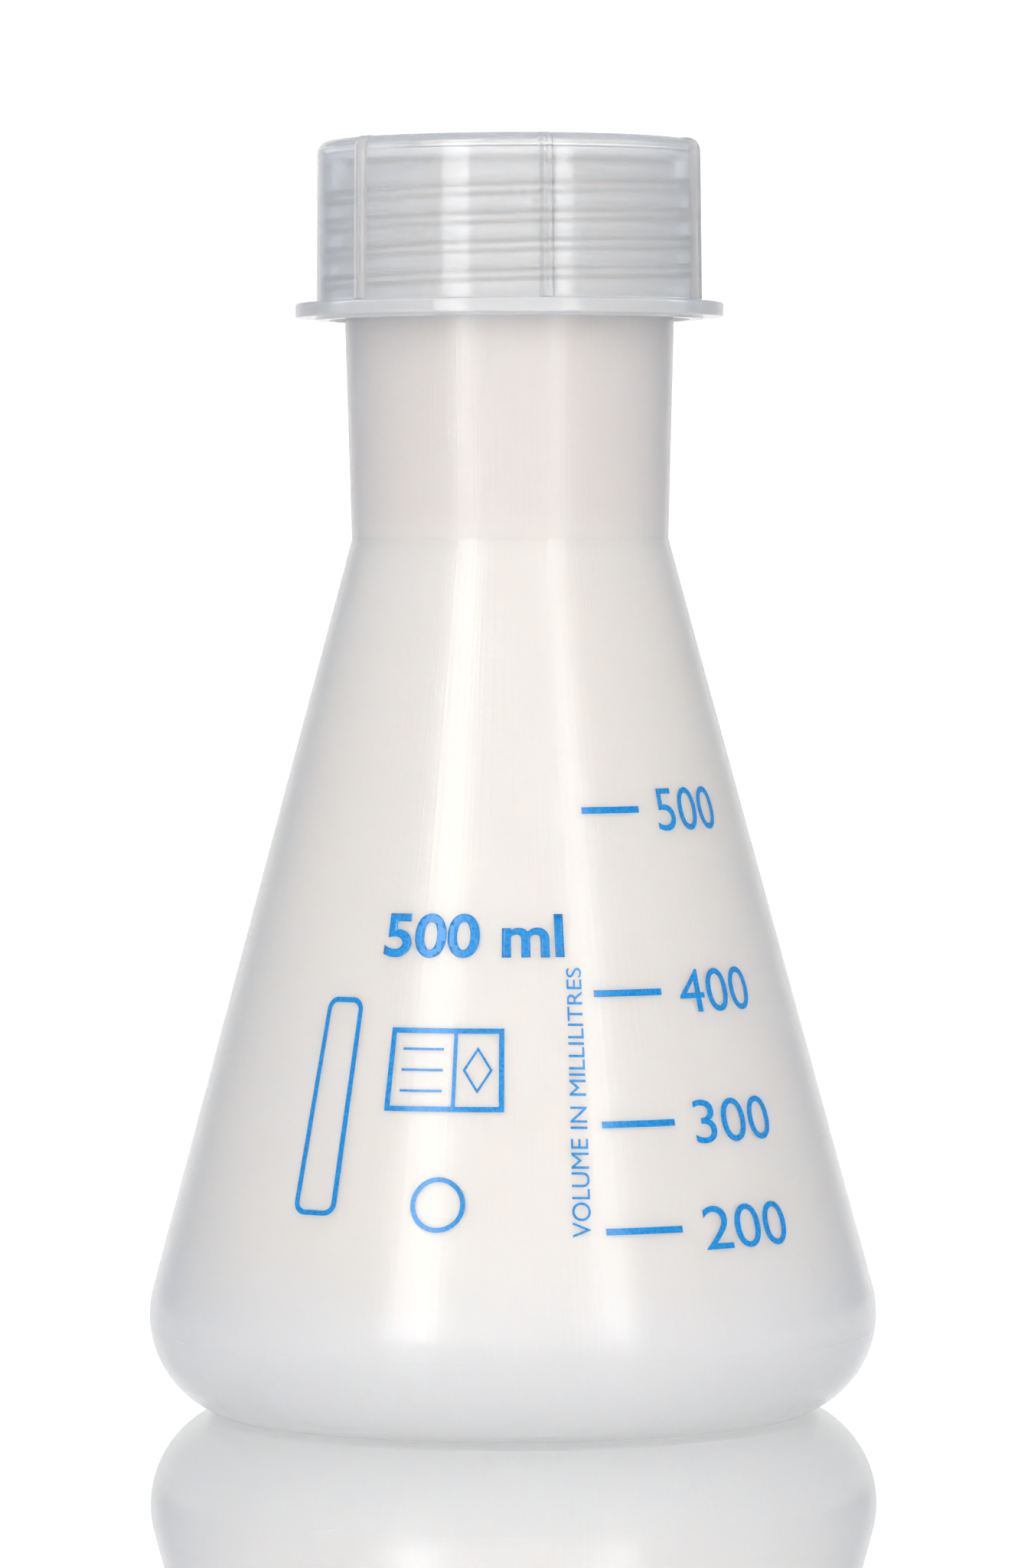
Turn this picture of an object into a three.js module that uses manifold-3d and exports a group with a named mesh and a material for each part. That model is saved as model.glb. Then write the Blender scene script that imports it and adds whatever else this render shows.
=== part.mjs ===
// A 500 ml conical (Erlenmeyer) flask with its screw cap, in moulded polypropylene.
// Millimetres, +Z up. The origin is the centre of the base, on the bench.
// Three pieces: the flask, the sealing disc that sits on its mouth, and the screw cap.

import * as THREE from 'three';
import { mergeVertices } from 'three/addons/utils/BufferGeometryUtils.js';
import Module from 'manifold-3d';

const FACETS = 40;               // sides of every round shape
const TURN = 2 * Math.PI;

// Flask body
const BODY_RADIUS = 52.35;       // widest, just above the base
const BASE_ROUND = 14.8;         // radius of the rounding from the base into the cone
const BASE_ROUND_Z = 13.7;       // height of its centre, so that it meets the bench at an angle
const CONE_TILT = THREE.MathUtils.degToRad(15.13);  // of the cone's side, from upright
const SHOULDER_Z = 125.0;        // where the cone meets the neck
const WALL = 1.4;                // of the cone, measured square to it
const FOOT_WIDTH = 3.4;          // of the flat ring that the flask stands on
const PUNT = 2.4;                // how far the middle of the base is pushed up
const BASE_WALL = 1.6;

// Neck and mouth
const NECK_RADIUS = 23.6;        // at the root of the thread
const NECK_TAPER_TOP_Z = 156.0;  // the neck widens from the shoulder up to here
const NECK_WALL = 1.6;
const LIP_Z = 178.6;             // rim of the mouth
const LIP_ROUND = 0.5;

// Screw cap
const CAP_TOP_Z = 182.0;
const CAP_TOP_WALL = 2.0;
const CAP_RADIUS = 27.5;         // just under the rounded top edge
const CAP_FOOT_RADIUS = 27.7;    // where the wall meets the flange
const CAP_BORE = 25.45;          // inner radius, at the root of the thread
const CAP_ROUND = 1.8;           // radius of the top edge
const FLANGE_RADIUS = 30.75;
const FLANGE_Z = 156.7;          // underside
const FLANGE_THICKNESS = 2.1;
const EDGE = 0.3;                // small chamfer
const SKIRT_END = 0.35;          // how far the wall reaches below the flange
const SKIRT_BORE = 26.1;         // mouth of the cap, flared for the thread to start

// Grip ribs of the cap
const RIB_COUNT = 6;
const RIB_FIRST = THREE.MathUtils.degToRad(-79);
const RIB_HEIGHT = 1.1;          // proud of the wall
const RIB_WIDTH = 2.0;
const RIB_SINK = 0.8;            // how deep its root lies in the wall

// Thread: one start, right-handed. The two ridges run clear of each other.
const PITCH = 4.0;
const THREAD_SINK = 0.4;         // how deep a ridge's root lies in its wall
const THREAD_RUN_OUT = 0.08;     // turns over which a ridge rises from the wall
const THREAD_BURIED = 0.18;      // share of a ridge's height left at its very ends
const NECK_THREAD = {
  root: NECK_RADIUS,
  crest: 25.0,
  rootWidth: 2.0,
  crestWidth: 1.1,
  topZ: 177.2,
  topAngle: THREE.MathUtils.degToRad(-18),
  turns: 4.5,
};
const CAP_THREAD_LAG = 2.2;      // the cap's ridge runs this far below the neck's
const CAP_THREAD_LEAD = THREE.MathUtils.degToRad(58);  // round from the top of the neck's
const CAP_THREAD = {
  root: CAP_BORE,
  crest: 24.0,
  rootWidth: 1.9,
  crestWidth: 1.0,
  topZ: NECK_THREAD.topZ - CAP_THREAD_LAG + PITCH * CAP_THREAD_LEAD / TURN,
  topAngle: NECK_THREAD.topAngle + CAP_THREAD_LEAD,
  turns: 4.1,
};

// Sealing disc
const GAP = 0.3;                 // between pieces that touch when the cap is tight
const DISC_RADIUS = 24.9;
const DISC_RIM_OUTER = 21.6;     // low rim that centres the disc in the mouth
const DISC_RIM_WALL = 1.3;
const DISC_RIM_DEPTH = 1.5;

const wasm = await Module();
wasm.setup();

// Turns a closed three.js geometry into a manifold solid.
function solidOf(geometry) {
  const bare = geometry.clone();
  bare.deleteAttribute('normal');
  bare.deleteAttribute('uv');
  const merged = mergeVertices(bare);
  const index = merged.index.array;
  const kept = [];
  for (let i = 0; i < index.length; i += 3) {
    const [a, b, c] = [index[i], index[i + 1], index[i + 2]];
    if (a !== b && b !== c && c !== a) kept.push(a, b, c);
  }
  const vertProperties = new Float32Array(merged.attributes.position.array);
  const triVerts = new Uint32Array(kept);
  return new wasm.Manifold(new wasm.Mesh({ numProp: 3, vertProperties, triVerts }));
}

function geometryOf(solid) {
  const { vertProperties, triVerts } = solid.getMesh();
  const geometry = new THREE.BufferGeometry();
  geometry.setAttribute('position', new THREE.Float32BufferAttribute(vertProperties, 3));
  geometry.setIndex(Array.from(triVerts));
  geometry.computeVertexNormals();
  return geometry;
}

// Points on an arc of a profile, [radius, z], with its angles measured from outward to up.
function arc(centreR, centreZ, radius, from, to, steps) {
  const points = [];
  for (let i = 0; i <= steps; i += 1) {
    const angle = from + (to - from) * i / steps;
    points.push([centreR + radius * Math.cos(angle), centreZ + radius * Math.sin(angle)]);
  }
  return points;
}

// A solid of revolution about Z. The profile starts on the axis below and ends on it above.
function turned(profile) {
  const points = profile.map(([r, z]) => new THREE.Vector2(r, z));
  return solidOf(new THREE.LatheGeometry(points, FACETS).rotateX(Math.PI / 2));
}

// A thread ridge: a straight bar of trapezoid section, wrapped downwards round the axis.
function threadRidge({ root, crest, rootWidth, crestWidth, topZ, topAngle, turns }) {
  const buried = root - Math.sign(crest - root) * THREAD_SINK;
  const height = crest - buried;
  const section = new THREE.Shape([
    new THREE.Vector2(0, -rootWidth / 2),
    new THREE.Vector2(height, -crestWidth / 2),
    new THREE.Vector2(height, crestWidth / 2),
    new THREE.Vector2(0, rootWidth / 2),
  ]);
  const steps = Math.round(turns * FACETS);
  const bar = new THREE.ExtrudeGeometry(section, { depth: turns, steps, bevelEnabled: false });
  const position = bar.attributes.position;
  for (let i = 0; i < position.count; i += 1) {
    const along = position.getZ(i);
    const rise = Math.min(along, turns - along) / THREAD_RUN_OUT;
    const radius = buried + position.getX(i) * THREE.MathUtils.clamp(rise, THREAD_BURIED, 1);
    const angle = topAngle - along * TURN;
    const z = topZ + position.getY(i) - along * PITCH;
    position.setXYZ(i, radius * Math.cos(angle), radius * Math.sin(angle), z);
  }
  return solidOf(bar);
}

// Flask: base with its punt, rounding, cone, shoulder, neck and mouth, in one wall.
function flaskBody() {
  const roundR = BODY_RADIUS - BASE_ROUND;
  const coneRadiusAt = (z) => roundR + BASE_ROUND / Math.cos(CONE_TILT)
    - (z - BASE_ROUND_Z) * Math.tan(CONE_TILT);
  const shoulderR = coneRadiusAt(SHOULDER_Z);
  const innerShoulderR = shoulderR - NECK_WALL;
  const innerShoulderZ = SHOULDER_Z
    + (NECK_WALL - WALL / Math.cos(CONE_TILT)) / Math.tan(CONE_TILT);
  const footAngle = -Math.asin(BASE_ROUND_Z / BASE_ROUND);
  const footInner = roundR + BASE_ROUND * Math.cos(footAngle) - FOOT_WIDTH;
  const innerRound = BASE_ROUND - BASE_WALL;
  const floorAngle = -Math.asin((BASE_ROUND_Z - BASE_WALL) / innerRound);
  const neckBore = NECK_RADIUS - NECK_WALL;
  const outside = [
    [0, PUNT],
    [footInner * 0.6, PUNT * 0.75],
    [footInner, 0],
    ...arc(roundR, BASE_ROUND_Z, BASE_ROUND, footAngle, CONE_TILT, 8),
    [shoulderR, SHOULDER_Z],
    [NECK_RADIUS, NECK_TAPER_TOP_Z],
    [NECK_RADIUS, LIP_Z - LIP_ROUND],
    [NECK_RADIUS - LIP_ROUND, LIP_Z],
  ];
  const inside = [
    [neckBore + LIP_ROUND, LIP_Z],
    [neckBore, LIP_Z - LIP_ROUND],
    [neckBore, NECK_TAPER_TOP_Z],
    [innerShoulderR, innerShoulderZ],
    ...arc(roundR, BASE_ROUND_Z, innerRound, CONE_TILT, floorAngle, 6),
    [footInner * 0.6, PUNT * 0.75 + BASE_WALL],
    [0, PUNT + BASE_WALL],
  ];
  return turned([...outside, ...inside]).add(threadRidge(NECK_THREAD));
}

// One grip rib, drawn in the plane through the axis and given its width across it.
function gripRib(angle) {
  const footZ = FLANGE_Z + FLANGE_THICKNESS - EDGE;
  const topZ = CAP_TOP_Z - EDGE;
  const cornerR = CAP_RADIUS + RIB_HEIGHT - CAP_ROUND;
  const rootR = CAP_RADIUS - RIB_SINK;
  const outline = [
    [CAP_FOOT_RADIUS - RIB_SINK, footZ],
    [CAP_FOOT_RADIUS + RIB_HEIGHT, footZ],
    ...arc(cornerR, topZ - CAP_ROUND, CAP_ROUND, 0, Math.PI / 2, 4),
    [rootR - CAP_ROUND, topZ],
    [rootR - CAP_ROUND, topZ - CAP_TOP_WALL / 2],
    [rootR, topZ - CAP_TOP_WALL / 2 - CAP_ROUND],
  ];
  const shape = new THREE.Shape(outline.map(([r, z]) => new THREE.Vector2(r, z)));
  const rib = new THREE.ExtrudeGeometry(shape, { depth: RIB_WIDTH, bevelEnabled: false });
  rib.translate(0, 0, -RIB_WIDTH / 2).rotateX(Math.PI / 2).rotateZ(angle);
  return solidOf(rib);
}

// Screw cap: top plate, wall with grip ribs outside and thread inside, and wide flange.
function screwCap() {
  const flangeTop = FLANGE_Z + FLANGE_THICKNESS;
  const skirtZ = FLANGE_Z - SKIRT_END;
  const plateZ = CAP_TOP_Z - CAP_TOP_WALL;
  let cap = turned([
    [0, plateZ],
    [CAP_BORE, plateZ],
    [CAP_BORE, skirtZ + SKIRT_BORE - CAP_BORE],
    [SKIRT_BORE, skirtZ],
    [CAP_FOOT_RADIUS + EDGE - SKIRT_END, skirtZ],
    [CAP_FOOT_RADIUS + EDGE, FLANGE_Z],
    [FLANGE_RADIUS - EDGE, FLANGE_Z],
    [FLANGE_RADIUS, FLANGE_Z + EDGE],
    [FLANGE_RADIUS, flangeTop - EDGE],
    [FLANGE_RADIUS - EDGE, flangeTop],
    [CAP_FOOT_RADIUS, flangeTop],
    ...arc(CAP_RADIUS - CAP_ROUND, CAP_TOP_Z - CAP_ROUND, CAP_ROUND, 0, Math.PI / 2, 4),
    [0, CAP_TOP_Z],
  ]);
  cap = cap.add(threadRidge(CAP_THREAD));
  for (let i = 0; i < RIB_COUNT; i += 1) {
    cap = cap.add(gripRib(RIB_FIRST + i * TURN / RIB_COUNT));
  }
  return cap;
}

// Sealing disc: lies between the mouth's rim and the cap's top plate.
function sealingDisc() {
  const top = CAP_TOP_Z - CAP_TOP_WALL - GAP;
  const bottom = LIP_Z + GAP;
  const rimFoot = bottom - DISC_RIM_DEPTH;
  return turned([
    [0, bottom],
    [DISC_RIM_OUTER - DISC_RIM_WALL, bottom],
    [DISC_RIM_OUTER - DISC_RIM_WALL, rimFoot],
    [DISC_RIM_OUTER - EDGE, rimFoot],
    [DISC_RIM_OUTER, bottom],
    [DISC_RADIUS, bottom],
    [DISC_RADIUS, top],
    [0, top],
  ]);
}

function piece(name, solid, color, roughness) {
  const material = new THREE.MeshStandardMaterial({ color, roughness, metalness: 0 });
  const mesh = new THREE.Mesh(geometryOf(solid), material);
  mesh.name = name;
  return mesh;
}

const flask = new THREE.Group();
flask.add(piece('flask_body', flaskBody(), 0xdcdad6, 0.32));
flask.add(piece('sealing_disc', sealingDisc(), 0xe6e7e6, 0.45));
flask.add(piece('screw_cap', screwCap(), 0xd2d5d6, 0.35));

export default flask;
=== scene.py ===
"""Looks of a 500 ml polypropylene Erlenmeyer flask with its screw cap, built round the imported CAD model.

Lengths are in millimetres until a mesh is made, and every mesh is in metres, +Z up, with the origin at
the centre of the base. The printed scale faces -Y, towards the camera.
"""

import math

import bmesh
import bpy
import numpy as np
from mathutils import Euler, Matrix, Vector


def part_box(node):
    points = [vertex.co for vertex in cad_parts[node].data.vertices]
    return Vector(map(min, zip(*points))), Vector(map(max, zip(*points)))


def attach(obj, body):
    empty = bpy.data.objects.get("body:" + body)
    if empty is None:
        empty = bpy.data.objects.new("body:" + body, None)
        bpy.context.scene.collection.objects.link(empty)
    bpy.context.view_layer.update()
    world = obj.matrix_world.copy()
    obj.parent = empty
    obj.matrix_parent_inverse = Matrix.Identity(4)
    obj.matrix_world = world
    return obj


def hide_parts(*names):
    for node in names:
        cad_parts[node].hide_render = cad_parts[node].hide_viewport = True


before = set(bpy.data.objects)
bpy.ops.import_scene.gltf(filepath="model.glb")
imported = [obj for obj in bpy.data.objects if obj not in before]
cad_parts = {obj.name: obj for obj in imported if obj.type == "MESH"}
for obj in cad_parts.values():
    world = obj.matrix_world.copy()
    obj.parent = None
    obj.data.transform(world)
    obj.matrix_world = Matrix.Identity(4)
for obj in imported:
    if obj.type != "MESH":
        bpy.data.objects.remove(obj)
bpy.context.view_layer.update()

MM = 0.001
TAU = 2 * math.pi


def lowest(node):
    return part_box(node)[0] / MM


def highest(node):
    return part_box(node)[1] / MM


# ---------------------------------------------------------------- sizes, from the frame and the design
BODY_RADIUS = highest("flask_body").x
BASE_ROUND = 14.8
BASE_ROUND_Z = 13.7
CONE_TILT = math.radians(15.13)
SHOULDER_Z = 125.0
SHOULDER_ROUND = 1.6
LIP_Z = highest("flask_body").z
NECK_RADIUS = 23.6
NECK_TAPER_TOP_Z = 156.0
NECK_WALL = 1.6
CONE_WALL = 1.4
BASE_WALL = 1.6
FOOT_WIDTH = 3.4
PUNT = 2.4
PUNT_KNEE = (0.6, 0.8)  # share of the ring's radius and of the punt's height where its curve bends most
BASE_GATE_RADIUS = 1.5
BASE_GATE_HEIGHT = 0.25
LIP_ROUND = 0.5

CAP_TOP_Z = highest("screw_cap").z
CAP_SKIRT_Z = lowest("screw_cap").z
FLANGE_RADIUS = highest("screw_cap").x
CAP_TOP_WALL = 2.0
CAP_RADIUS = 27.5
CAP_FOOT_RADIUS = 27.7
CAP_BORE = 25.45
CAP_SKIRT_BORE = 26.1
CAP_ROUND = 1.8
FLANGE_Z = CAP_SKIRT_Z + 0.35
FLANGE_THICKNESS = 2.1
PANEL_RADIUS = CAP_RADIUS * 0.6
PANEL_DEPTH = 0.25
CAP_GATE_RADIUS = 1.8
CAP_GATE_HEIGHT = 0.15

RIB_COUNT = 6
RIB_FIRST = math.radians(-79)
RIB_HEIGHT = 1.1
RIB_FOOT = 2.2
RIB_CREST = 0.8
RIB_GROOVE = 0.3

PITCH = 4.0
NECK_THREAD = {"height": 1.4, "foot": 2.2, "crest": 0.9, "turns": 4.5,
               "top_z": 177.2, "top_angle": math.radians(-18)}
CAP_THREAD = {"height": 1.45, "foot": 2.0, "crest": 0.8, "turns": 4.1,
              "top_z": 175.64, "top_angle": math.radians(40)}
THREAD_RUN_OUT = 0.1
THREAD_MARGIN = 1.3
CAP_THREAD_MARGIN = 1.2
THREAD_STEP = 0.15

DISC_RADIUS = highest("sealing_disc").x
DISC_TOP_Z = highest("sealing_disc").z
DISC_FOOT_Z = lowest("sealing_disc").z
DISC_THICKNESS = 0.8
DISC_RIM_OUTER = 21.6
DISC_RIM_WALL = 1.3

FLASK_COLUMNS = 216
DISC_COLUMNS = 144


def cone_radius(z):
    """Outer radius of the cone at a height."""
    centre = BODY_RADIUS - BASE_ROUND
    return centre + BASE_ROUND / math.cos(CONE_TILT) - (z - BASE_ROUND_Z) * math.tan(CONE_TILT)


# ---------------------------------------------------------------- mesh tools
def rounded_outline(corners, steps=6, span=6.0, support=0.25):
    """(r, z) points through corners (r, z, rounding). Each rounding is an arc, and long straight
    stretches get a ring near each end, so that smooth shading stays on the arcs."""
    points = [Vector(corners[0][:2])]
    for before, here, after in zip(corners, corners[1:], corners[2:]):
        corner = Vector(here[:2])
        back = (Vector(before[:2]) - corner).normalized()
        ahead = (Vector(after[:2]) - corner).normalized()
        half = back.angle(ahead) / 2
        if here[2] == 0 or half > math.radians(89.5):
            points.append(corner)
            continue
        reach = here[2] / math.tan(half)
        centre = corner + (back + ahead).normalized() * here[2] / math.sin(half)
        first = corner + back * reach - centre
        last = corner + ahead * reach - centre
        turn = first.angle_signed(last)
        for i in range(steps + 1):
            points.append(centre + Matrix.Rotation(-turn * i / steps, 2) @ first)
    points.append(Vector(corners[-1][:2]))
    filled = [points[0]]
    for a, b in zip(points, points[1:]):
        length = (b - a).length
        if length > 4 * support:
            inner = max(1, round((length - 2 * support) / span))
            stops = [support + (length - 2 * support) * i / inner for i in range(inner + 1)]
            filled += [a.lerp(b, s / length) for s in stops]
        if length > 1e-6:
            filled.append(b)
    return np.array(filled)


def arc(centre_r, centre_z, radius, start, end, steps=40):
    """Points (r, z, 0) on an arc, its angles measured from straight outwards."""
    angles = [start + (end - start) * i / steps for i in range(steps + 1)]
    return [(centre_r + radius * math.cos(a), centre_z + radius * math.sin(a), 0) for a in angles]


def revolve(name, outline, angles, shift=None):
    """A closed skin: the outline turned about Z, from the axis to the axis. shift(r, z, angle) gives how
    far outwards a point of the skin stands."""
    r, z = outline[1:-1, 0], outline[1:-1, 1]
    grid_r, grid_a = np.meshgrid(r, angles, indexing="ij")
    grid_z = np.meshgrid(z, angles, indexing="ij")[0]
    if shift is not None:
        grid_r = grid_r + shift(np.arange(len(r))[:, None], grid_z, grid_a)
    points = np.stack([grid_r * np.cos(grid_a), grid_r * np.sin(grid_a), grid_z], axis=-1).reshape(-1, 3)
    poles = np.array([[0, 0, outline[0, 1]], [0, 0, outline[-1, 1]]])
    vertices = np.vstack([points, poles]) * MM
    rings, columns = len(r), len(angles)
    start, end = rings * columns, rings * columns + 1
    faces = []
    for i in range(columns):
        j = (i + 1) % columns
        faces.append((start, j, i))
        for k in range(rings - 1):
            a, b = k * columns, (k + 1) * columns
            faces.append((a + i, a + j, b + j, b + i))
        top = (rings - 1) * columns
        faces.append((top + i, top + j, end))
    mesh = bpy.data.meshes.new(name)
    mesh.from_pydata(vertices.tolist(), [], faces)
    mesh.validate()
    mesh.shade_smooth()
    return place(name, mesh)


def place(name, mesh):
    piece = bpy.data.objects.new(name, mesh)
    bpy.context.scene.collection.objects.link(piece)
    return piece


def smoothstep(x):
    x = np.clip(x, 0, 1)
    return x * x * (3 - 2 * x)


def thread_share(z, angle, thread):
    """0 to 1: how much of the ridge's height stands at (angle, z) on a right-handed thread."""
    first = ((thread["top_angle"] - angle) / TAU) % 1.0
    down = (thread["top_z"] - z) / PITCH
    turn = first + np.round(down - first)
    away = np.abs(turn - down) * PITCH
    flank = (thread["foot"] - thread["crest"]) / 2
    ridge = np.clip((thread["foot"] / 2 - away) / flank, 0, 1)
    return ridge * smoothstep(np.minimum(turn, thread["turns"] - turn) / THREAD_RUN_OUT)


# ---------------------------------------------------------------- flask body
def build_flask():
    shoulder_r = cone_radius(SHOULDER_Z)
    round_r = BODY_RADIUS - BASE_ROUND
    bore = NECK_RADIUS - NECK_WALL
    inner_shoulder_z = SHOULDER_Z + (NECK_WALL - CONE_WALL / math.cos(CONE_TILT)) / math.tan(CONE_TILT)
    foot_angle = -math.asin(BASE_ROUND_Z / BASE_ROUND)
    outer_arc = arc(round_r, BASE_ROUND_Z, BASE_ROUND, foot_angle, CONE_TILT)
    foot_out = outer_arc[0][0]
    foot_in = foot_out - FOOT_WIDTH
    inner = BASE_ROUND - BASE_WALL
    floor_angle = -math.asin((BASE_ROUND_Z - BASE_WALL) / inner)
    inner_arc = arc(round_r, BASE_ROUND_Z, inner, CONE_TILT, floor_angle)
    knee_r, knee_z = foot_in * PUNT_KNEE[0], PUNT * PUNT_KNEE[1]
    thread_top = NECK_THREAD["top_z"] + THREAD_MARGIN
    thread_foot = NECK_THREAD["top_z"] - PITCH * NECK_THREAD["turns"] - THREAD_MARGIN
    below_thread = rounded_outline([
        (0, PUNT + BASE_GATE_HEIGHT, 0),
        (BASE_GATE_RADIUS - 0.3, PUNT + BASE_GATE_HEIGHT, 0.15),
        (BASE_GATE_RADIUS, PUNT, 0.15),
        (knee_r, knee_z, 30),
        (foot_in, 0, 0.6),
        (foot_out, 0, 1.0),
        *outer_arc[1:],
        (shoulder_r, SHOULDER_Z, SHOULDER_ROUND),
        (NECK_RADIUS, NECK_TAPER_TOP_Z, 3.0),
        (NECK_RADIUS, thread_foot, 0),
    ], steps=10)
    heights = np.arange(thread_foot + THREAD_STEP, thread_top, THREAD_STEP)
    threaded = np.array([(NECK_RADIUS, z) for z in heights])
    above_thread = rounded_outline([
        (NECK_RADIUS, thread_top, 0),
        (NECK_RADIUS, LIP_Z, LIP_ROUND),
        (bore, LIP_Z, LIP_ROUND),
        (bore, NECK_TAPER_TOP_Z, 3.0),
        (shoulder_r - NECK_WALL, inner_shoulder_z, SHOULDER_ROUND),
        *inner_arc[:-1],
        (inner_arc[-1][0], BASE_WALL, 2.0),
        (knee_r, knee_z + BASE_WALL, 30),
        (0, PUNT + BASE_WALL, 0),
    ], steps=10)
    outline = np.vstack([below_thread, threaded, above_thread])
    first, last = len(below_thread) - 1, len(below_thread) + len(threaded) - 1

    def shift(ring, z, angle):
        inside = (ring >= first) & (ring < last)
        return inside * NECK_THREAD["height"] * thread_share(z, angle, NECK_THREAD)

    angles = np.arange(FLASK_COLUMNS) * TAU / FLASK_COLUMNS
    return revolve("moulded_flask", outline, angles, shift)


# ---------------------------------------------------------------- screw cap
def rib_share(angle):
    """0 to 1: how far a grip rib stands at an angle. A shallow groove runs down the middle of its crest."""
    step = TAU / RIB_COUNT
    away = np.abs((angle - RIB_FIRST + step / 2) % step - step / 2) * CAP_RADIUS
    flank = (RIB_FOOT - RIB_CREST) / 2
    groove = RIB_GROOVE * smoothstep(1 - away / (RIB_CREST / 2))
    return smoothstep((RIB_FOOT / 2 - away) / flank) - groove


def build_cap():
    flange_top = FLANGE_Z + FLANGE_THICKNESS
    plate_z = CAP_TOP_Z - CAP_TOP_WALL
    panel_z = CAP_TOP_Z - PANEL_DEPTH
    thread_top = CAP_THREAD["top_z"] + CAP_THREAD_MARGIN
    thread_foot = CAP_THREAD["top_z"] - PITCH * CAP_THREAD["turns"] - CAP_THREAD_MARGIN
    below_thread = rounded_outline([
        (0, plate_z, 0),
        (CAP_BORE, plate_z, 0.35),
        (CAP_BORE, thread_top, 0),
    ])
    heights = np.arange(thread_top - THREAD_STEP, thread_foot, -THREAD_STEP)
    threaded = np.array([(CAP_BORE, z) for z in heights])
    outside = rounded_outline([
        (CAP_BORE, thread_foot, 0),
        (CAP_BORE, CAP_SKIRT_Z + CAP_SKIRT_BORE - CAP_BORE, 0.3),
        (CAP_SKIRT_BORE, CAP_SKIRT_Z, 0.12),
        (CAP_FOOT_RADIUS + 0.1, CAP_SKIRT_Z, 0.12),
        (CAP_FOOT_RADIUS + 0.3, FLANGE_Z, 0.1),
        (FLANGE_RADIUS, FLANGE_Z, 0.35),
        (FLANGE_RADIUS, flange_top, 0.45),
        (CAP_FOOT_RADIUS, flange_top, 0.4),
        (CAP_RADIUS, CAP_TOP_Z - CAP_ROUND - 0.1, 0.0),
        (CAP_RADIUS, CAP_TOP_Z, CAP_ROUND),
        (PANEL_RADIUS + 0.55, CAP_TOP_Z, 0.5),
        (PANEL_RADIUS, panel_z, 0.5),
        (CAP_GATE_RADIUS + 0.2, panel_z, 0.2),
        (CAP_GATE_RADIUS, panel_z + CAP_GATE_HEIGHT, 0.1),
        (0, panel_z + CAP_GATE_HEIGHT, 0),
    ])
    outline = np.vstack([below_thread, threaded, outside])
    first, last = len(below_thread) - 1, len(below_thread) + len(threaded) - 1

    def shift(ring, z, angle):
        inside = (ring >= first) & (ring < last)
        thread = inside * CAP_THREAD["height"] * thread_share(z, angle, CAP_THREAD)
        wall = ring > last
        radius = outline[1:-1, 0][ring]
        on_wall = wall * smoothstep((z - flange_top + 0.05) / 0.3)
        on_wall = on_wall * smoothstep((radius - CAP_RADIUS + CAP_ROUND + 1.2) / 1.0)
        return on_wall * RIB_HEIGHT * rib_share(angle) - thread

    step = TAU / RIB_COUNT
    dense = np.arange(-13, 14) * math.radians(0.3)
    sparse = np.linspace(dense[-1], step + dense[0], 34)[1:-1]
    sector = np.concatenate([dense, sparse])
    angles = np.concatenate([RIB_FIRST + i * step + sector for i in range(RIB_COUNT)])
    return revolve("moulded_cap", outline, angles, shift)


def build_disc():
    lower = DISC_TOP_Z - DISC_THICKNESS
    outline = rounded_outline([
        (0, lower, 0),
        (DISC_RIM_OUTER - DISC_RIM_WALL, lower, 0.15),
        (DISC_RIM_OUTER - DISC_RIM_WALL, DISC_FOOT_Z, 0.3),
        (DISC_RIM_OUTER - 0.3, DISC_FOOT_Z, 0.3),
        (DISC_RIM_OUTER, lower, 0.15),
        (DISC_RADIUS, lower, 0.25),
        (DISC_RADIUS, DISC_TOP_Z, 0.25),
        (0, DISC_TOP_Z, 0),
    ])
    angles = np.arange(DISC_COLUMNS) * TAU / DISC_COLUMNS
    return revolve("moulded_seal", outline, angles)


# ---------------------------------------------------------------- print
FILM_LIFT = 0.012
FILM = 0.03
SLICE = 0.6
STROKE = 0.95
OUTLINE = 0.75
BOLD = 0.022

# (volume, height of the mark, angle of its left end, its length, angle of the numeral, its width)
GRADUATIONS = [
    (200, 29.5, 15.4, 11.5, 33.1, 15.8),
    (300, 44.0, 16.1, 11.1, 34.5, 14.8),
    (400, 61.9, 16.6, 10.4, 36.0, 14.0),
    (500, 87.1, 17.3, 8.9, 38.1, 12.3),
]
NUMERAL_HEIGHT = 6.2

LABEL_WIDTH = 16.6
LABEL_HEIGHT = 11.8
DIVIDER_X = 9.4
DIVIDER_WIDTH = 0.55
RULE_START = (2.0, 2.75)
RULE_LENGTH = 6.0
RULE_WIDTH = 0.35
RULE_SPACING = 2.95
DIAMOND_X = 12.9
DIAMOND_OUTER = (2.1, 3.3)
DIAMOND_INNER = (1.7, 2.7)

RING_OUTER = 3.9
RING_INNER = 3.2
BLANK_WIDTH = 6.6
BLANK_HEIGHT = 31.0
BLANK_ROUND = 1.8
BLANK_INNER_ROUND = 1.1


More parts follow.
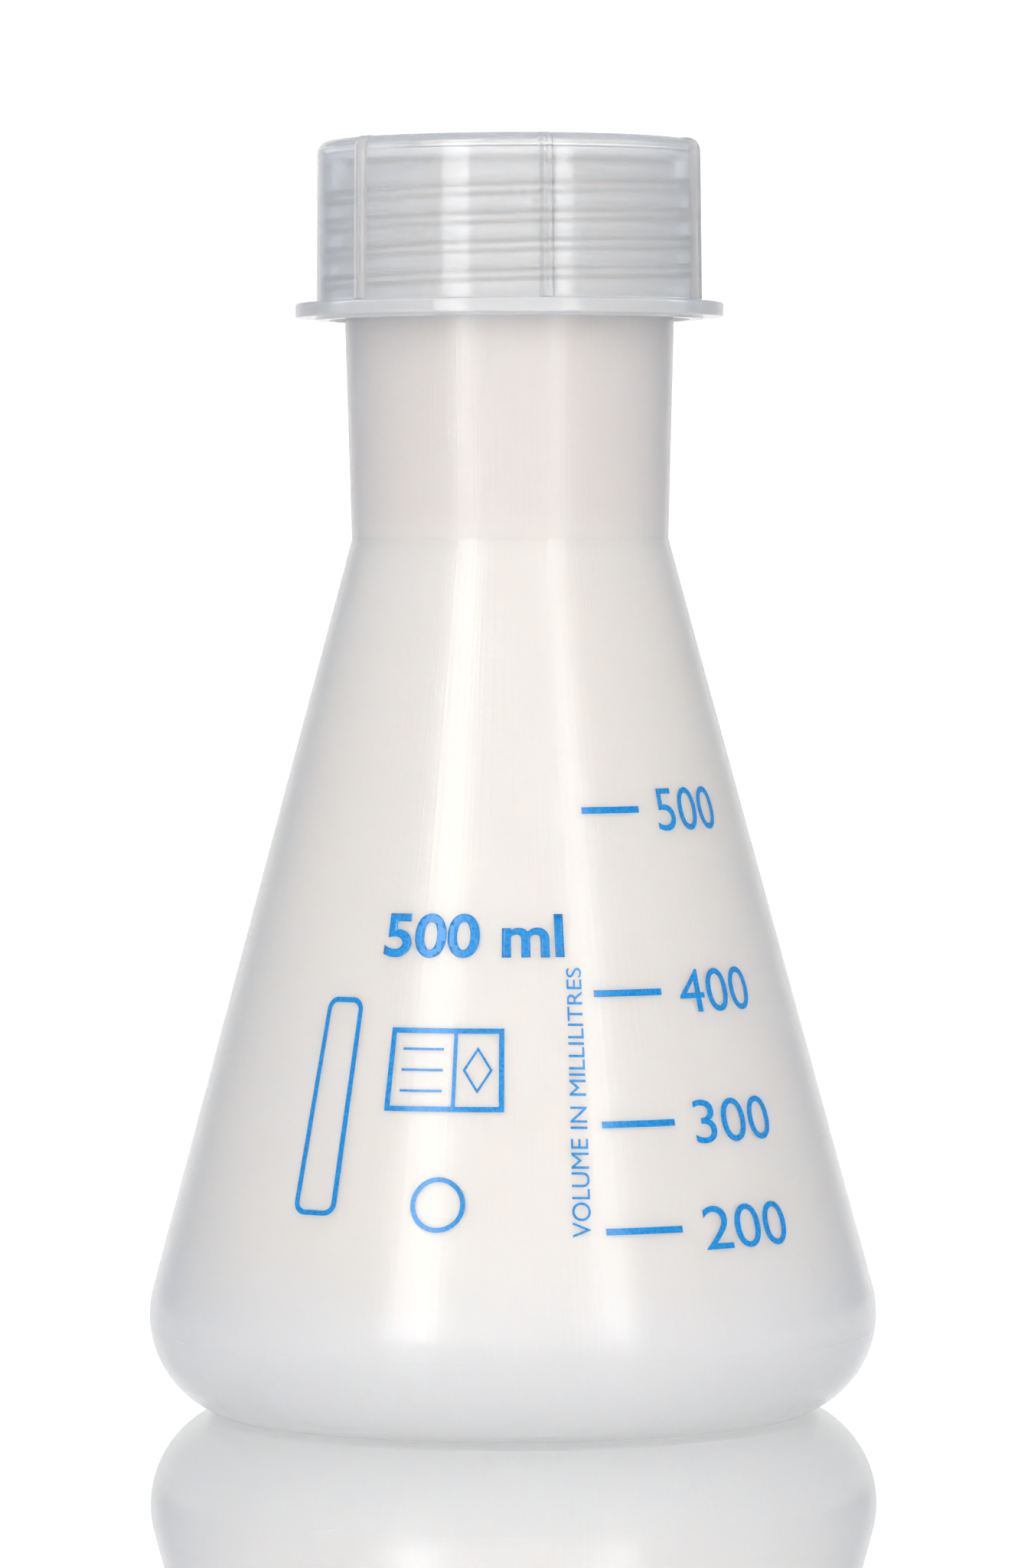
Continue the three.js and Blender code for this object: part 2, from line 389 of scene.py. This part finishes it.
def flat_text(body, width, height, weight):
    """Text as flat faces, its ink scaled to width by height, with the lower left corner at 0, 0."""
    curve = bpy.data.curves.new("glyphs", "FONT")
    curve.body = body
    curve.offset = weight
    curve.resolution_u = 8
    curve.fill_mode = "FRONT"
    holder = place("glyphs", curve)
    graph = bpy.context.evaluated_depsgraph_get()
    mesh = bpy.data.meshes.new_from_object(holder.evaluated_get(graph))
    bpy.data.objects.remove(holder)
    flat = bmesh.new()
    flat.from_mesh(mesh)
    bpy.data.meshes.remove(mesh)
    bmesh.ops.remove_doubles(flat, verts=flat.verts, dist=1e-5)
    low = [min(v.co[k] for v in flat.verts) for k in (0, 1)]
    high = [max(v.co[k] for v in flat.verts) for k in (0, 1)]
    for v in flat.verts:
        v.co.x = (v.co.x - low[0]) / (high[0] - low[0]) * width
        v.co.y = (v.co.y - low[1]) / (high[1] - low[1]) * height
        v.co.z = 0
    return flat


def flat_outline(*loops):
    """Flat faces between closed loops of points: each pair of loops is a band, a lone loop is filled."""
    flat = bmesh.new()
    made = [[flat.verts.new((x, y, 0)) for x, y in loop] for loop in loops]
    if len(made) == 1:
        flat.faces.new(made[0])
        return flat
    for outer, inner in zip(made[::2], made[1::2]):
        for i in range(len(outer)):
            j = (i + 1) % len(outer)
            flat.faces.new((outer[i], outer[j], inner[j], inner[i]))
    return flat


def rectangle(x0, y0, x1, y1):
    return [(x0, y0), (x1, y0), (x1, y1), (x0, y1)]


def rounded_box(x0, y0, x1, y1, radius, steps=6):
    loop = []
    for cx, cy, start in ((x1 - radius, y1 - radius, 0), (x0 + radius, y1 - radius, 1),
                          (x0 + radius, y0 + radius, 2), (x1 - radius, y0 + radius, 3)):
        for i in range(steps + 1):
            angle = (start + i / steps) * math.pi / 2
            loop.append((cx + radius * math.cos(angle), cy + radius * math.sin(angle)))
    return loop


def circle(cx, cy, radius, steps=40):
    angles = [TAU * i / steps for i in range(steps)]
    return [(cx + radius * math.cos(a), cy + radius * math.sin(a)) for a in angles]


def wrap_on_cone(flat, angle, z, turn=0.0, middle=None):
    """Lays flat ink on the cone: its 0, 0 goes to that angle from the front and that height, and turn
    rotates the ink there. Its width is true at its middle height, so upright strokes run straight up the
    cone. It becomes a closed film a little off the plastic."""
    spin = Matrix.Rotation(turn, 4, "Z")
    bmesh.ops.transform(flat, matrix=spin, verts=flat.verts)
    low = min(v.co.x for v in flat.verts)
    high = max(v.co.x for v in flat.verts)
    for i in range(1, int((high - low) / SLICE) + 1):
        geometry = flat.verts[:] + flat.edges[:] + flat.faces[:]
        bmesh.ops.bisect_plane(flat, geom=geometry, plane_co=(low + i * SLICE, 0, 0), plane_no=(1, 0, 0))
    skin = bmesh.ops.extrude_face_region(flat, geom=flat.faces[:])
    for v in skin["geom"]:
        if isinstance(v, bmesh.types.BMVert):
            v.co.z = FILM
    if middle is None:
        middle = (min(v.co.y for v in flat.verts) + max(v.co.y for v in flat.verts)) / 2
    girth = cone_radius(z + middle * math.cos(CONE_TILT))
    for v in flat.verts:
        height = z + v.co.y * math.cos(CONE_TILT)
        radius = cone_radius(height)
        away = angle + v.co.x / girth
        lift = FILM_LIFT + v.co.z
        out = radius + lift * math.cos(CONE_TILT)
        v.co = Vector((out * math.sin(away), -out * math.cos(away), height + lift * math.sin(CONE_TILT))) * MM
    bmesh.ops.recalc_face_normals(flat, faces=flat.faces[:])
    return flat


def ink_piece(name, *wrapped):
    whole = bpy.data.meshes.new(name)
    joined = bmesh.new()
    for flat in wrapped:
        part = bpy.data.meshes.new("part")
        flat.to_mesh(part)
        flat.free()
        joined.from_mesh(part)
        bpy.data.meshes.remove(part)
    joined.to_mesh(whole)
    joined.free()
    return place(name, whole)


def diamond(size):
    """A diamond in the right half of the label box."""
    middle = LABEL_HEIGHT / 2
    return [(DIAMOND_X, middle - size[1]), (DIAMOND_X + size[0], middle),
            (DIAMOND_X, middle + size[1]), (DIAMOND_X - size[0], middle)]


def label_box():
    """A framed box with three ruled lines left of its divider and a diamond right of it."""
    right, top = LABEL_WIDTH - OUTLINE, LABEL_HEIGHT - OUTLINE
    parts = [
        flat_outline(rectangle(0, 0, LABEL_WIDTH, LABEL_HEIGHT), rectangle(OUTLINE, OUTLINE, right, top)),
        flat_outline(rectangle(DIVIDER_X, OUTLINE, DIVIDER_X + DIVIDER_WIDTH, top)),
    ]
    x, y = RULE_START
    for i in range(3):
        low = y + i * RULE_SPACING
        parts.append(flat_outline(rectangle(x, low, x + RULE_LENGTH, low + RULE_WIDTH)))
    parts.append(flat_outline(diamond(DIAMOND_OUTER), diamond(DIAMOND_INNER)))
    return parts


def writing_panel():
    """An empty upright panel with round corners."""
    right, top = BLANK_WIDTH - OUTLINE, BLANK_HEIGHT - OUTLINE
    return flat_outline(rounded_box(0, 0, BLANK_WIDTH, BLANK_HEIGHT, BLANK_ROUND),
                        rounded_box(OUTLINE, OUTLINE, right, top, BLANK_INNER_ROUND))


def build_prints():
    marks, numerals = [], []
    for volume, z, angle, length, numeral_angle, width in GRADUATIONS:
        bar = flat_outline(rectangle(0, -STROKE / 2, length, STROKE / 2))
        marks.append(wrap_on_cone(bar, math.radians(angle), z))
        figure = flat_text(str(volume), width, NUMERAL_HEIGHT, 0.0)
        numerals.append(wrap_on_cone(figure, math.radians(numeral_angle), z - NUMERAL_HEIGHT / 2))
    capacity = wrap_on_cone(flat_text("500 ml", 25.5, 6.3, BOLD), math.radians(-27.8), 66.9)
    unit = wrap_on_cone(flat_text("VOLUME IN MILLILITRES", 38.0, 2.4, 0.0), math.radians(12.9), 28.8,
                        turn=math.radians(88.4))
    box = [wrap_on_cone(flat, math.radians(-23.8), 45.9, middle=LABEL_HEIGHT / 2) for flat in label_box()]
    ring = flat_outline(circle(0, 0, RING_OUTER), circle(0, 0, RING_INNER))
    round_mark = wrap_on_cone(ring, math.radians(-12.6), 33.3)
    panel = wrap_on_cone(writing_panel(), math.radians(-39.5), 31.3)
    return [
        ink_piece("printed_marks", *marks),
        ink_piece("printed_numerals", *numerals),
        ink_piece("printed_capacity", capacity),
        ink_piece("printed_unit", unit),
        ink_piece("printed_label_box", *box),
        ink_piece("printed_round_mark", round_mark),
        ink_piece("printed_writing_panel", panel),
    ]


# ---------------------------------------------------------------- materials
CLOUD_SCALE = 45.0
GLOSS_SCALE = 160.0
PEEL_SCALE = 600.0
GRAIN_SCALE = 2200.0
DRAW_LINES = 60.0
PEEL_SHARE = 0.45
PARTING_Z = 11.7
PARTING_HALF_WIDTH = 0.13
PARTING_DEPTH = 0.03
PLASTIC_IOR = 1.49

INK_DARK = (0.001, 0.175, 0.485)
INK_LIGHT = (0.012, 0.27, 0.66)
INK_ROUGHNESS = (0.16, 0.22)


def new_material(name):
    material = bpy.data.materials.new(name)
    material.use_nodes = True
    nodes = material.node_tree.nodes
    return material, nodes, material.node_tree.links, nodes["Principled BSDF"]


def noise(nodes, links, scale, detail=3.0, stretch=(1, 1, 1)):
    """Noise in the piece's own metres, stretched along its axes."""
    where = nodes.new("ShaderNodeTexCoord")
    mapping = nodes.new("ShaderNodeMapping")
    mapping.inputs["Scale"].default_value = stretch
    texture = nodes.new("ShaderNodeTexNoise")
    texture.inputs["Scale"].default_value = scale
    texture.inputs["Detail"].default_value = detail
    links.new(where.outputs["Object"], mapping.inputs["Vector"])
    links.new(mapping.outputs["Vector"], texture.inputs["Vector"])
    return texture.outputs["Fac"]


def spread(nodes, links, value, low, high):
    """Maps a noise's middle range onto low to high."""
    ranged = nodes.new("ShaderNodeMapRange")
    ranged.inputs["From Min"].default_value = 0.3
    ranged.inputs["From Max"].default_value = 0.7
    ranged.inputs["To Min"].default_value = low
    ranged.inputs["To Max"].default_value = high
    links.new(value, ranged.inputs["Value"])
    return ranged.outputs["Result"]


def mixed_colour(nodes, links, share, first, second):
    """Mixes a colour or a node's colour with a second colour."""
    mix = nodes.new("ShaderNodeMix")
    mix.data_type = "RGBA"
    if isinstance(first, tuple):
        mix.inputs["A"].default_value = (*first, 1)
    else:
        links.new(first, mix.inputs["A"])
    mix.inputs["B"].default_value = (*second, 1)
    links.new(share, mix.inputs["Factor"])
    return mix.outputs["Result"]


def height_share(nodes, links, start, end):
    """Goes softly from 0 at one height to 1 at another."""
    where = nodes.new("ShaderNodeTexCoord")
    parts = nodes.new("ShaderNodeSeparateXYZ")
    share = nodes.new("ShaderNodeMapRange")
    share.interpolation_type = "SMOOTHSTEP"
    share.inputs["From Min"].default_value = start * MM
    share.inputs["From Max"].default_value = end * MM
    links.new(where.outputs["Object"], parts.inputs["Vector"])
    links.new(parts.outputs["Z"], share.inputs["Value"])
    return share.outputs["Result"]


def bump(nodes, links, height, depth, below=None):
    """Relief of that depth in millimetres, over the relief below it."""
    relief = nodes.new("ShaderNodeBump")
    relief.inputs["Distance"].default_value = depth * MM
    links.new(height, relief.inputs["Height"])
    if below is not None:
        links.new(below, relief.inputs["Normal"])
    return relief.outputs["Normal"]


def moulded_relief(nodes, links, depth):
    """What the mould leaves: a fine orange peel, draw lines of that depth that run up the wall, and the
    parting line round the base."""
    where = nodes.new("ShaderNodeTexCoord")
    around = nodes.new("ShaderNodeVectorMath")
    around.operation = "MULTIPLY"
    around.inputs[1].default_value = (1, 1, 0)
    links.new(where.outputs["Object"], around.inputs[0])
    unit = nodes.new("ShaderNodeVectorMath")
    unit.operation = "NORMALIZE"
    links.new(around.outputs["Vector"], unit.inputs[0])
    lines = nodes.new("ShaderNodeTexNoise")
    lines.inputs["Scale"].default_value = DRAW_LINES
    lines.inputs["Detail"].default_value = 3.0
    links.new(unit.outputs["Vector"], lines.inputs["Vector"])
    parts = nodes.new("ShaderNodeSeparateXYZ")
    links.new(where.outputs["Object"], parts.inputs["Vector"])
    seam = nodes.new("ShaderNodeMath")
    seam.operation = "COMPARE"
    seam.inputs[1].default_value = PARTING_Z * MM
    seam.inputs[2].default_value = PARTING_HALF_WIDTH * MM
    links.new(parts.outputs["Z"], seam.inputs[0])
    peel = bump(nodes, links, noise(nodes, links, PEEL_SCALE, 2.0), depth * PEEL_SHARE)
    drawn = bump(nodes, links, lines.outputs["Fac"], depth, peel)
    return bump(nodes, links, seam.outputs["Value"], PARTING_DEPTH, drawn)


def moulded_plastic(name, thin, dense, roughness, shine, transmission, scatter, relief, painted_shades=()):
    """Translucent moulded plastic: faint cloudy flow, a fine orange peel and an uneven satin gloss. Its
    colour goes from thin to dense with the flow. Each of the painted shades (start, end, colour) takes
    over between two heights: a darker, cooler colour painted where the flask lies in shade."""
    material, nodes, links, shader = new_material(name)
    cloud = noise(nodes, links, CLOUD_SCALE, 4.0, (1, 1, 0.35))
    colour = mixed_colour(nodes, links, spread(nodes, links, cloud, 0, 1), thin, dense)
    # painted shade: each band darkens and cools the base colour between two heights, in place of shade from
    # the lighting
    for start, end, painted_shade in painted_shades:
        colour = mixed_colour(nodes, links, height_share(nodes, links, start, end), colour, painted_shade)
    links.new(colour, shader.inputs["Base Color"])
    gloss = noise(nodes, links, GLOSS_SCALE, 5.0)
    links.new(spread(nodes, links, gloss, *roughness), shader.inputs["Roughness"])
    links.new(moulded_relief(nodes, links, relief), shader.inputs["Normal"])
    shader.inputs["IOR"].default_value = PLASTIC_IOR
    shader.inputs["Specular IOR Level"].default_value = shine
    shader.inputs["Transmission Weight"].default_value = transmission
    shader.inputs["Subsurface Weight"].default_value = 1.0
    shader.inputs["Subsurface Radius"].default_value = scatter
    shader.inputs["Subsurface Scale"].default_value = MM
    return material


def screen_ink():
    """Blue screen-printing ink: a thin, slightly grainy coat with a gloss of its own."""
    material, nodes, links, shader = new_material("blue_ink")
    grain = noise(nodes, links, GRAIN_SCALE, 3.0)
    cover = spread(nodes, links, grain, 0, 1)
    blue = mixed_colour(nodes, links, cover, INK_DARK, INK_LIGHT)
    links.new(blue, shader.inputs["Base Color"])
    links.new(spread(nodes, links, grain, *INK_ROUGHNESS), shader.inputs["Roughness"])
    shader.inputs["Specular IOR Level"].default_value = 0.5
    return material


# ---------------------------------------------------------------- studio
WHITE = (1, 1, 1, 1)
TENT_FRONT = (0.36, 0.35, 0.35)
TENT_SIDE = (0.46, 0.515, 0.61)
TENT_LEFT = 1.1
TENT_RIGHT = 0.86
TENT_TOP = 1.4
TENT_RAMP = ((0.28, TENT_FRONT), (0.45, TENT_SIDE), (0.89, TENT_SIDE), (0.97, (1, 1, 1)))
BACKDROP = 1.2
STRIP_COLOUR = (1.0, 0.99, 0.98)
FLOOR_HALF = 3.0  # in metres, like the places of the camera and the lights
FLOOR_DROP = 0.00005
FLOOR_FACING = (0.3, 0.88)
FLOOR_GLOSS = 0.93
FLOOR_SHARE = (0.12, 0.83)
CAMERA_DISTANCE = 1.089
CAMERA_HEIGHT = 0.1276
CAMERA_SIDE = -0.0003
CAMERA_LENS = 174.0
CAMERA_DOWN = math.radians(1.99)
CAMERA_ROLL = math.radians(-0.2)


def build_camera():
    data = bpy.data.cameras.new("camera")
    data.lens = CAMERA_LENS
    data.sensor_width = 36.0
    camera = bpy.data.objects.new("camera", data)
    aim = Euler((math.pi / 2 - CAMERA_DOWN, 0, 0)).to_matrix() @ Matrix.Rotation(CAMERA_ROLL, 3, "Z")
    camera.matrix_world = Matrix.Translation((CAMERA_SIDE, -CAMERA_DISTANCE, CAMERA_HEIGHT)) @ aim.to_4x4()
    bpy.context.scene.collection.objects.link(camera)
    bpy.context.scene.camera = camera


def build_world():
    """A light tent: dim in front, with cooler walls and a white backdrop behind the flask. The lens and the
    mirror of the floor see the backdrop's white all round."""
    world = bpy.data.worlds.new("tent")
    world.use_nodes = True
    nodes, links = world.node_tree.nodes, world.node_tree.links
    where = nodes.new("ShaderNodeTexCoord")
    parts = nodes.new("ShaderNodeSeparateXYZ")
    links.new(where.outputs["Generated"], parts.inputs["Vector"])
    ranged = nodes.new("ShaderNodeMapRange")
    ranged.inputs["From Min"].default_value = -1.0
    links.new(parts.outputs["Y"], ranged.inputs["Value"])
    ramp = nodes.new("ShaderNodeValToRGB")
    ramp.color_ramp.interpolation = "EASE"
    stops = ramp.color_ramp.elements
    stops[0].position, stops[0].color = 0.0, (*TENT_FRONT, 1)
    stops[1].position, stops[1].color = 1.0, WHITE
    for position, colour in TENT_RAMP:
        stops.new(position).color = (*colour, 1)
    links.new(ranged.outputs["Result"], ramp.inputs["Fac"])
    across = nodes.new("ShaderNodeMapRange")
    across.inputs["From Min"].default_value = -1.0
    across.inputs["To Min"].default_value = TENT_LEFT
    across.inputs["To Max"].default_value = TENT_RIGHT
    links.new(parts.outputs["X"], across.inputs["Value"])
    above = nodes.new("ShaderNodeMapRange")
    above.inputs["From Min"].default_value = 0.25
    above.inputs["From Max"].default_value = 0.9
    above.inputs["To Min"].default_value = 1.0
    above.inputs["To Max"].default_value = TENT_TOP
    links.new(parts.outputs["Z"], above.inputs["Value"])
    inside = nodes.new("ShaderNodeMath")
    inside.operation = "MULTIPLY"
    links.new(across.outputs["Result"], inside.inputs[0])
    links.new(above.outputs["Result"], inside.inputs[1])
    seen = nodes.new("ShaderNodeLightPath")
    direct = nodes.new("ShaderNodeMath")
    direct.operation = "MAXIMUM"
    links.new(seen.outputs["Is Camera Ray"], direct.inputs[0])
    links.new(seen.outputs["Is Singular Ray"], direct.inputs[1])
    strength = nodes.new("ShaderNodeMix")
    strength.inputs["B"].default_value = BACKDROP
    links.new(direct.outputs["Value"], strength.inputs["Factor"])
    links.new(inside.outputs["Value"], strength.inputs["A"])
    colour = nodes.new("ShaderNodeMix")
    colour.data_type = "RGBA"
    colour.inputs["B"].default_value = WHITE
    links.new(direct.outputs["Value"], colour.inputs["Factor"])
    links.new(ramp.outputs["Color"], colour.inputs["A"])
    links.new(colour.outputs["Result"], nodes["Background"].inputs["Color"])
    links.new(strength.outputs["Result"], nodes["Background"].inputs["Strength"])
    bpy.context.scene.world = world


def softbox(name, azimuth, elevation, distance, width, height, power, colour, glossy):
    """A rectangular light aimed at the middle of the flask. Azimuth 0 is the camera's side. It is either
    a strip that only shows as a highlight, or a broad fill that leaves none."""
    data = bpy.data.lights.new(name, "AREA")
    data.shape = "RECTANGLE"
    data.size, data.size_y = width, height
    data.energy = power
    data.color = colour
    light = bpy.data.objects.new(name, data)
    a, e = math.radians(azimuth), math.radians(elevation)
    away = Vector((math.sin(a) * math.cos(e), -math.cos(a) * math.cos(e), math.sin(e)))
    light.location = Vector((0, 0, 0.09)) + away * distance
    light.visible_glossy = glossy
    light.visible_diffuse = not glossy
    light.rotation_mode = "QUATERNION"
    light.rotation_quaternion = (-away).to_track_quat("-Z", "Y")
    bpy.context.scene.collection.objects.link(light)


def build_floor():
    """A sheet of glossy white acrylic."""
    mesh = bpy.data.meshes.new("floor")
    corners = rectangle(-FLOOR_HALF, -FLOOR_HALF, FLOOR_HALF, FLOOR_HALF)
    mesh.from_pydata([(x, y, -FLOOR_DROP) for x, y in corners], [], [(0, 1, 2, 3)])
    floor = place("floor", mesh)
    material = bpy.data.materials.new("glossy_acrylic")
    material.use_nodes = True
    nodes, links = material.node_tree.nodes, material.node_tree.links
    nodes.clear()
    mirror = nodes.new("ShaderNodeBsdfGlossy")
    mirror.inputs["Roughness"].default_value = 0.0
    mirror.inputs["Color"].default_value = (FLOOR_GLOSS, FLOOR_GLOSS, FLOOR_GLOSS, 1)
    glow = nodes.new("ShaderNodeEmission")
    glow.inputs["Color"].default_value = WHITE
    weight = nodes.new("ShaderNodeLayerWeight")
    share = nodes.new("ShaderNodeMapRange")
    share.inputs["From Min"].default_value = FLOOR_FACING[0]
    share.inputs["From Max"].default_value = FLOOR_FACING[1]
    share.inputs["To Min"].default_value = FLOOR_SHARE[0]
    share.inputs["To Max"].default_value = FLOOR_SHARE[1]
    mix = nodes.new("ShaderNodeMixShader")
    output = nodes.new("ShaderNodeOutputMaterial")
    links.new(weight.outputs["Facing"], share.inputs["Value"])
    links.new(share.outputs["Result"], mix.inputs["Fac"])
    links.new(glow.outputs["Emission"], mix.inputs[1])
    links.new(mirror.outputs["BSDF"], mix.inputs[2])
    links.new(mix.outputs["Shader"], output.inputs["Surface"])
    mesh.materials.append(material)


# ---------------------------------------------------------------- assembly
def finish_piece(piece, body, slot, material, *nodes):
    piece.data.materials.append(material)
    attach(piece, body)
    if nodes:
        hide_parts(*nodes)


build_camera()
build_world()
build_floor()
softbox("left_strip", azimuth=-32, elevation=24, distance=1.2, width=0.34, height=1.15, power=5.6,
        colour=STRIP_COLOUR, glossy=True)
softbox("right_strip", azimuth=33, elevation=24, distance=1.2, width=0.22, height=1.15, power=2.6,
        colour=STRIP_COLOUR, glossy=True)
softbox("front_fill", azimuth=3, elevation=12, distance=1.6, width=2.2, height=1.6, power=38.5,
        colour=(1.0, 0.965, 0.935), glossy=False)
softbox("back_fill", azimuth=170, elevation=50, distance=1.6, width=2.0, height=1.2, power=16.0,
        colour=(0.98, 0.99, 1.0), glossy=False)

flask_plastic = moulded_plastic(
    "polypropylene_body", (0.977, 0.912, 0.857), (0.984, 0.934, 0.889), roughness=(0.16, 0.21), shine=0.5,
    transmission=0.55, scatter=(3.0, 2.6, 2.2), relief=0.03,
    # painted shade: darker, cooler colour towards the base, where the rounded foot faces the floor under the
    # flask
    painted_shades=[(30.0, 6.0, (0.9, 0.915, 0.93)),
            # painted shade: the neck darker from the shoulder up, for the shade under the cap's flange
            (SHOULDER_Z - 3, SHOULDER_Z + 5, (0.9, 0.86, 0.835)),
            # painted shade: the neck darker and cooler inside the cap, so that the thread ridges' highlights
            # stand out
            (CAP_SKIRT_Z - 2, CAP_SKIRT_Z + 3, (0.87, 0.885, 0.91))])
cap_plastic = moulded_plastic(
    "polypropylene_cap", (0.96, 0.978, 0.998), (0.97, 0.985, 0.999), roughness=(0.06, 0.1), shine=0.28,
    transmission=0.72, scatter=(0.5, 0.55, 0.6), relief=0.006)
seal_plastic = moulded_plastic(
    "polyethylene_seal", (0.94, 0.945, 0.95), (0.96, 0.965, 0.97), roughness=(0.4, 0.5), shine=0.5,
    transmission=0.3, scatter=(2.0, 2.0, 2.0), relief=0.02)
ink = screen_ink()

finish_piece(build_flask(), "flask", "flask", flask_plastic, "flask_body")
finish_piece(build_disc(), "seal", "seal", seal_plastic, "sealing_disc")
finish_piece(build_cap(), "cap", "cap", cap_plastic, "screw_cap")
for printed in build_prints():
    finish_piece(printed, "flask", "ink", ink)

bpy.context.scene.view_settings.view_transform = "Standard"
